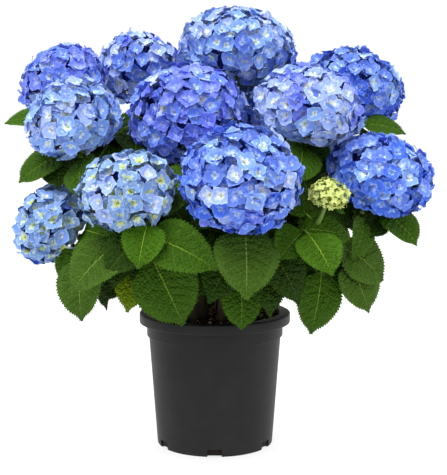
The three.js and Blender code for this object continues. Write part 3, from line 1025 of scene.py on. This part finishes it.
def pot_piece(material):
    """The moulded pot, with its drain notches cut through the foot."""
    rings = [[(x, y, height) for x, y in circle(radius, POT["sides"] if radius else 1)]
             for radius, height in pot_profile()]
    piece = ringed("pot_shell", rings, material)
    cutters = []
    for index in range(POT["notches"]):
        shape = bmesh.new()
        bmesh.ops.create_cube(shape, size=1)
        bmesh.ops.scale(shape, vec=(POT["notch_width"], 18 * MM, 2 * POT["notch_height"]), verts=shape.verts)
        bmesh.ops.translate(shape, vec=(0, -POT["base"], 0), verts=shape.verts)
        turn = Matrix.Rotation(index * 2 * math.pi / POT["notches"], 3, "Z")
        bmesh.ops.rotate(shape, matrix=turn, verts=shape.verts)
        mesh = bpy.data.meshes.new("notch")
        shape.to_mesh(mesh)
        shape.free()
        cutter = placed("notch", mesh)
        cutters.append(cutter)
        cut = piece.modifiers.new("notch", "BOOLEAN")
        cut.operation = "DIFFERENCE"
        cut.solver = "EXACT"
        cut.object = cutter
    bpy.context.view_layer.update()
    evaluated = piece.evaluated_get(bpy.context.evaluated_depsgraph_get())
    mesh = bpy.data.meshes.new_from_object(evaluated)
    piece.modifiers.clear()
    piece.data = mesh
    for cutter in cutters:
        bpy.data.objects.remove(cutter)
    for edge in mesh.edges:
        edge.use_edge_sharp = False
    mesh.set_sharp_from_angle(angle=math.radians(35))
    return piece


def lump(radius, stretch, rng):
    """A small closed crumb: a squashed, uneven octahedron with its edges cut."""
    ring = np.arange(5) * 2 * math.pi / 5
    upper = np.stack([np.cos(ring), np.sin(ring), np.full(5, 0.45)], axis=1)
    lower = np.stack([np.cos(ring + 0.6), np.sin(ring + 0.6), np.full(5, -0.45)], axis=1)
    points = np.concatenate([upper, lower, [[0, 0, 0.9], [0, 0, -0.9]]])
    points = points * (1 + rng.uniform(-0.22, 0.22, (12, 1))) * radius * np.array(stretch)
    tris = []
    for index in range(5):
        ahead = (index + 1) % 5
        tris += [[index, ahead, 10], [ahead + 5, index + 5, 11]]
        tris += [[index, index + 5, ahead], [ahead, index + 5, ahead + 5]]
    return Shape(points, np.array(tris), NO_QUADS, np.zeros(len(tris), int), NO_ZONES)


def mix_surface(x, y, top):
    """Height of the potting mix: uneven, and dished slightly towards the middle."""
    rough = noise.fractal(Vector((x, y, 0.3)) * 42, 0.8, 2.1, 4)
    fine = noise.noise(Vector((x, y, 7.0)) * 210)
    return top - 3.2 * MM + rough * 2.2 * MM + fine * 1.2 * MM


def mix_bits(name, count, radius, top, sizes, rise, tilt, stretch, rng, materials):
    """Small bits lying on the mix; stretch gives the three stretches of the next one."""
    bits = Pile()
    for _ in range(count):
        reach = radius * math.sqrt(rng.random())
        turn = rng.uniform(0, 2 * math.pi)
        x, y = reach * math.cos(turn), reach * math.sin(turn)
        size = rng.uniform(*sizes) * MM
        spin = Matrix.Rotation(rng.uniform(0, math.pi), 4, "Z")
        if tilt:
            spin = spin @ Matrix.Rotation(rng.normal(0, tilt), 4, "X")
        place = Matrix.Translation((x, y, mix_surface(x, y, top) + rise * size))
        bits.add(lump(size, stretch(), rng), place @ spin, rng.integers(len(materials)))
    return finish_piece(bits.build(name, materials), "potting_mix")


def mix_pieces():
    """The potting mix: a closed bed with a crumbly top, and bark and perlite bits lying on it."""
    rng = np.random.default_rng(SEED + 5)
    low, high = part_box("potting_mix")
    bottom, top = low.z, high.z
    radius = inner_radius(top) - MIX["gap"]
    rings = [[(0, 0, mix_surface(0, 0, top))]]
    for ring in range(1, MIX["rings"] + 1):
        rings.append([(x, y, mix_surface(x, y, top))
                      for x, y in circle(radius * ring / MIX["rings"], MIX["sides"])])
    for height in (POT["shoulder"][1], bottom):
        rings.append([(x, y, height) for x, y in circle(inner_radius(height) - MIX["gap"], MIX["sides"])])
    rings.append([(0, 0, bottom)])
    earth = mottled("mix_earth", [srgb(12, 7, 4), srgb(26, 16, 9), srgb(44, 28, 16)], 9 * MM, 0.86, 1.0 * MM)
    finish_piece(ringed("mix_bed", rings, earth), "potting_mix", "potting_mix")
    mix_bits("mix_bark", MIX["bark_bits"], radius - 3 * MM, top, (1.0, 3.4), 0.2, 0.5,
             lambda: (rng.uniform(1, 2.2), rng.uniform(0.5, 1), rng.uniform(0.3, 0.7)), rng,
             finishes("bark", {"dark": (26, 15, 9), "brown": (58, 34, 18), "tan": (92, 60, 36)},
                      0.85, 1.5 * MM, 0.3 * MM))
    mix_bits("mix_perlite", MIX["perlite_bits"], radius - 4 * MM, top, (0.8, 2.3), 0.9, 0,
             lambda: (1.2, 1, 0.8), rng,
             finishes("perlite", {"white": (226, 212, 186), "tan": (190, 160, 118)},
                      0.8, 0.8 * MM, 0.2 * MM))


# ---------------- the plant

STALK_MATERIALS = finishes("stalk", {"green": (112, 142, 50), "pale": (150, 168, 110)}, 0.5, 2 * MM, 0.2 * MM)
stalks = Pile()

HEAD_GROUPS = {
    "blossom_front": ["front", "centre_left", "low_left"],
    "blossom_left": ["left_front", "side_left", "far_left", "back_left"],
    "blossom_right": ["right_centre", "right_front", "back_right", "top"],
}
grouped = sum(HEAD_GROUPS.values(), []) + ["bud"]
HEAD_GROUPS["blossom_rear"] = [head for head in HEADS if head not in grouped]

shapes = floret_shapes(FLORET, np.random.default_rng(SEED))
for group, heads in HEAD_GROUPS.items():
    pile = Pile()
    for head in heads:
        rng = np.random.default_rng(SEED + 100 + HEADS.index(head))
        dress_head(head, pile, stalks, FLORET, shapes, rng)
    piece = pile.build(group, PETAL_MATERIALS)
    finish_piece(piece, "flower_heads", *(f"head_{head}" for head in heads))

young = Pile()
rng = np.random.default_rng(SEED + 50)
dress_head("bud", young, stalks, YOUNG_FLORET, floret_shapes(YOUNG_FLORET, rng), rng)
finish_piece(young.build("blossom_young", PETAL_MATERIALS), "young_head", "head_bud")

# painted shade: the inner forms take a deep blue, and a darker green in the young head, for the shade deep
# inside the heads
cores = Pile()
for head in HEADS:
    cores.add(core_of(head, CORE_SHARE), None, 1 if head == "bud" else 0)
core_piece = cores.build("painted_shade_core", [
    surface("painted_shade_blue", srgb(44, 66, 170), 0.8, 3 * MM, 1 * MM),
    surface("painted_shade_green", srgb(120, 134, 60), 0.8, 2 * MM, 0.6 * MM)])
finish_piece(core_piece, "flower_heads")

outer = Pile()
inner = Pile()
for index, node in enumerate(LEAF_MASSES):
    rng = np.random.default_rng(SEED + 200 + index)
    if "heart" in node:
        heart_leaves(node, inner, stalks, rng)
    else:
        lead_leaves(node, outer, stalks, rng)
for index, head in enumerate(HEADS):
    cane_leaves(head, inner, stalks, np.random.default_rng(SEED + 240 + index))
outer_nodes = [node for node in LEAF_MASSES if "heart" not in node]
inner_nodes = [node for node in LEAF_MASSES if "heart" in node]
finish_piece(outer.build("leaves_outer", LEAF_MATERIALS), "leaves", *outer_nodes)
finish_piece(inner.build("leaves_inner", LEAF_MATERIALS), "leaves", *inner_nodes)
finish_piece(stalks.build("leaf_and_flower_stalks", STALK_MATERIALS), "canes")

canes = Pile()
rng = np.random.default_rng(SEED + 300)
for head in HEADS:
    canes.add(cane_shape(head, rng))
# the woody bark colour is darkened as painted shade at the foot of the canes
cane_piece = canes.build("cane_bark", [
    surface("bark_green", srgb(104, 134, 48), 0.5, 3 * MM, 0.5 * MM),
    surface("bark_woody_and_shaded", srgb(66, 54, 34), 0.75, 2 * MM, 0.8 * MM)])
finish_piece(cane_piece, "canes", *(f"cane_{head}" for head in HEADS))

plastic = mottled("pot_plastic", [srgb(29, 29, 30), srgb(32, 32, 33), srgb(35, 35, 36)], 30 * MM, 0.5,
                  0.04 * MM, 0.18)
finish_piece(pot_piece(plastic), "pot", "pot")
mix_pieces()

# ---------------- floor, light and camera


def sky():
    """Soft white light from all round, brighter behind the shrub."""
    world = bpy.data.worlds.new("studio")
    bpy.context.scene.world = world
    world.use_nodes = True
    nodes = world.node_tree.nodes
    links = world.node_tree.links
    place = nodes.new("ShaderNodeTexCoord")
    split = nodes.new("ShaderNodeSeparateXYZ")
    links.new(place.outputs["Generated"], split.inputs["Vector"])
    fade = nodes.new("ShaderNodeMapRange")
    fade.interpolation_type = "SMOOTHSTEP"
    for entry, value in zip(("From Min", "From Max", "To Min", "To Max"), SKY["share"] + SKY["strength"]):
        fade.inputs[entry].default_value = value
    links.new(split.outputs["Y"], fade.inputs["Value"])
    links.new(fade.outputs["Result"], nodes["Background"].inputs["Strength"])
    nodes["Background"].inputs["Color"].default_value = (1, 1, 1, 1)


def pale_floor():
    side, front, back = FLOOR["side"], FLOOR["front"], FLOOR["back"]
    corners = [(-side, front, 0), (side, front, 0), (side, back, 0), (-side, back, 0)]
    mesh = bpy.data.meshes.new("floor")
    mesh.from_pydata(corners, [], [(0, 1, 2, 3)])
    mesh.materials.append(surface("floor_white", (0.93, 0.93, 0.93, 1), 0.8))
    floor = placed("floor", mesh)
    return floor


def light_up(name, lamps, pieces, shadows):
    """Suns that light only the given pieces."""
    lit = bpy.data.collections.new(name)
    for piece in pieces:
        lit.objects.link(piece)
    for lamp_name, (source, angle, strength) in lamps.items():
        lamp = bpy.data.lights.new(lamp_name, "SUN")
        lamp.angle = math.radians(angle)
        lamp.energy = strength
        lamp.use_shadow = shadows
        light = placed(lamp_name, lamp)
        light.rotation_euler = Vector(source).to_track_quat("Z", "Y").to_euler()
        light.light_linking.receiver_collection = lit


def studio():
    bpy.context.scene.view_settings.view_transform = "Standard"
    sky()
    floor = pale_floor()
    plant = [piece for piece in bpy.context.scene.objects if piece.type == "MESH" and piece != floor]
    light_up("lit_plant", PLANT_LAMPS, plant, True)
    light_up("lit_floor", FLOOR_LAMPS, [floor], False)
    lens = bpy.data.cameras.new("camera")
    lens.lens = CAMERA["lens"]
    camera = placed("camera", lens)
    camera.location = CAMERA["place"]
    camera.rotation_euler = (math.radians(90 - CAMERA["tilt"]), 0, 0)
    bpy.context.scene.camera = camera


studio()
